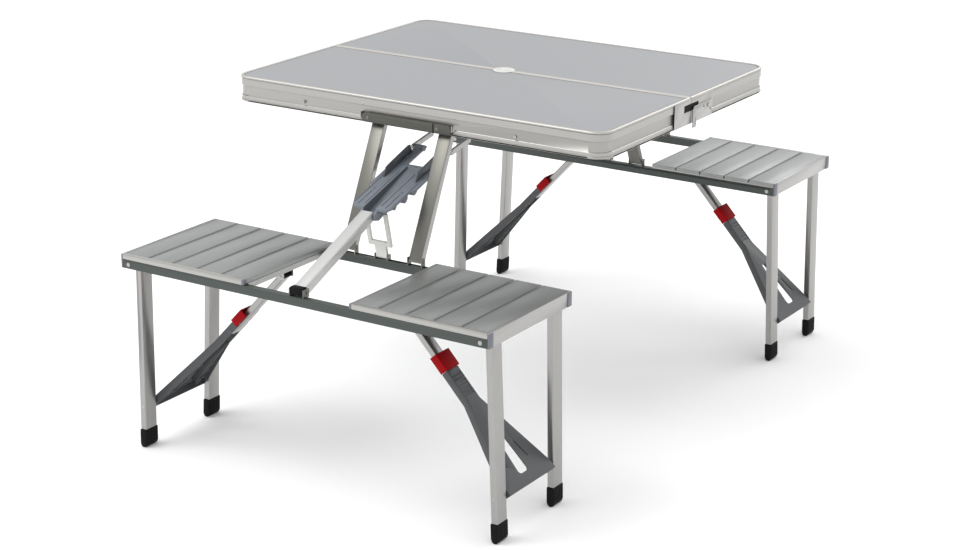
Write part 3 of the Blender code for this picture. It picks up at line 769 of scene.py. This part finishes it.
def bench(label, sy):
    body = f"{label}_bench"
    shell(f"{label}_inner_rail", [RAIL, STEEL, BAR], body, 0.0018, 0.3, paint=rail_paint)
    shell(f"{label}_outer_rail", [RAIL, STEEL, BAR], body, 0.0018, 0.3, paint=rail_paint)
    for word in ("left", "right"):
        shell(f"{label}_{word}_bar", [BAR, SILVER_Z], f"{label}_bars", 0.0016, 0.1, paint=side_paint)
    piece(f"{label}_bar_rivets", bar_rivets, STEEL, f"{label}_bars", 1, sy)
    shell(f"{label}_diagonal_tube", TUBE_METAL, f"{label}_tube", 0.0020, 0.1)
    piece(f"{label}_tube_plug", tube_plug, BLACK, f"{label}_tube", 1, sy, 0.0012)
    hub, slots = [HUB, HUB_DARK_AND_SHADE], [hub_slots]
    slider = f"{label}_slider"
    shell(f"{label}_hub", hub, slider, 0.0006, 0.01, slots, hub_lumps, 1, sy, trough_paint)
    # The plates take the darkened hub plastic as painted shade.
    piece(f"{label}_hub_plates", hub_plates, HUB_DARK_AND_SHADE, slider, 1, sy, 0.0006)
    shell(f"{label}_struts", SILVER_Y, f"{label}_strut_pair", 0.0008, 0.01)
    piece(f"{label}_strut_rivets", hub_pins, STEEL, f"{label}_strut_pair", 1, sy)
    shell(f"{label}_bail", WHITE, f"{label}_bail_arm", 0.0012, 0.008)
    for word, sx in (("left", -1), ("right", 1)):
        bench_end(label, word, sx, sy)


def bench_end(label, word, sx, sy):
    name, body = f"{label}_{word}", f"{label}_bench"
    piece(f"{name}_slats", slats, SLAT, body, sx, sy, 0.0008, [f"{name}_seat"])
    piece(f"{name}_slat_lines", slat_lines, SLAT, body, sx, sy)
    piece(f"{name}_seat_trims", trims, SILVER_X, body, sx, sy, 0.0012)
    piece(f"{name}_seat_gap_shade", seat_gap_shade, GAP_SHADE, body, sx, sy)
    piece(f"{name}_seat_end_cap", seat_end_cap, CAP_GREY, body, sx, sy, 0.0007)
    piece(f"{name}_stay_bracket", stay_bracket, STEEL, body, sx, sy)
    shell(f"{name}_end_profile", SILVER_Y, body, 0.0007)
    piece(f"{name}_corner_caps", corner_caps, CAP_GREY, body, sx, sy, 0.0009)
    legs = f"{name}_legs"
    shell(f"{name}_leg_frame", SILVER_Z, legs, 0.0024, 0.2)
    piece(f"{name}_leg_rivets", leg_rivets, STEEL, legs, sx, sy)
    for which, centre in (("outer", OUTER_LEG), ("inner", INNER_LEG)):
        ribs = lambda bm: foot_ribs(bm, centre)
        foot, rubber = f"{name}_{which}_foot", "foot_black_rubber"
        shell(foot, BLACK, legs, 0.0022, 0.003, extra=ribs, sx=sx, sy=sy)
    shell(f"{name}_stay_tube", SILVER_Z, f"{name}_stay", 0.0018, 0.1)
    piece(f"{name}_stay_plug", stay_plug, BLACK, f"{name}_stay", sx, sy, 0.0006)
    cutters = [brace_window, brace_side_slots, brace_grooves]
    shell(f"{name}_brace", BRACE, f"{name}_tray", 0.0007, 0.02, cutters, brace_ribs, sx, sy)
    piece(f"{name}_knee_rivets", knee_rivets, HUB_DARK_AND_SHADE, f"{name}_tray", sx, sy)
    red, slide = "lock_red_plastic", f"{name}_latch"
    shell(f"{name}_lock", RED, slide, 0.0010, 0.004, extra=lock_trim, sx=sx, sy=sy)


table_top("front", -1)
table_top("back", 1)
front_handle()
latch()
umbrella_cap()
bench("front", -1)
bench("back", 1)


# ---------------------------------------------------------------- studio


def floor():
    bpy.ops.mesh.primitive_plane_add(size=30, location=(0, 0, -0.0006))
    plane = bpy.context.object
    plane.name = "studio_floor"
    plane.data.materials.append(surface("studio_floor", (254, 254, 254), 0.0, 0.9, (1, 1, 1), 4, 0.002, 0.0))


def light(name, location, size, power):
    lamp = bpy.data.lights.new(name, "AREA")
    lamp.shape = "RECTANGLE"
    lamp.size, lamp.size_y = size
    lamp.energy = power
    obj = bpy.data.objects.new(name, lamp)
    obj.location = location
    obj.rotation_euler = (Vector((0, 0, 0.4)) - Vector(location)).to_track_quat("-Z", "Y").to_euler()
    bpy.context.scene.collection.objects.link(obj)


def camera():
    yaw, pitch, roll = radians(32.2637), radians(18.1803), radians(0.3879)
    ahead = Vector((-sin(yaw) * cos(pitch), cos(yaw) * cos(pitch), -sin(pitch)))
    right = Vector((cos(yaw), sin(yaw), 0.0))
    up = right.cross(ahead)
    r = right * cos(roll) + up * sin(roll)
    u = -right * sin(roll) + up * cos(roll)
    turn = Matrix((r, u, -ahead)).transposed()
    data = bpy.data.cameras.new("camera")
    data.sensor_width = 36.0
    data.lens = 81.26
    obj = bpy.data.objects.new("camera", data)
    obj.matrix_world = Matrix.Translation((2.3241, -3.7336, 1.6915)) @ turn.to_4x4()
    bpy.context.scene.collection.objects.link(obj)
    bpy.context.scene.camera = obj


def world():
    sky = bpy.data.worlds.new("studio")
    sky.use_nodes = True
    back = sky.node_tree.nodes["Background"]
    back.inputs["Color"].default_value = (1, 1, 1, 1)
    back.inputs["Strength"].default_value = 1.0
    bpy.context.scene.world = sky
    bpy.context.scene.view_settings.view_transform = "Standard"


floor()
camera()
world()
light("key", (-1.6, -2.2, 3.6), (2.4, 2.4), 70)
light("rim", (0.6, 3.2, 2.6), (3.0, 1.2), 34)
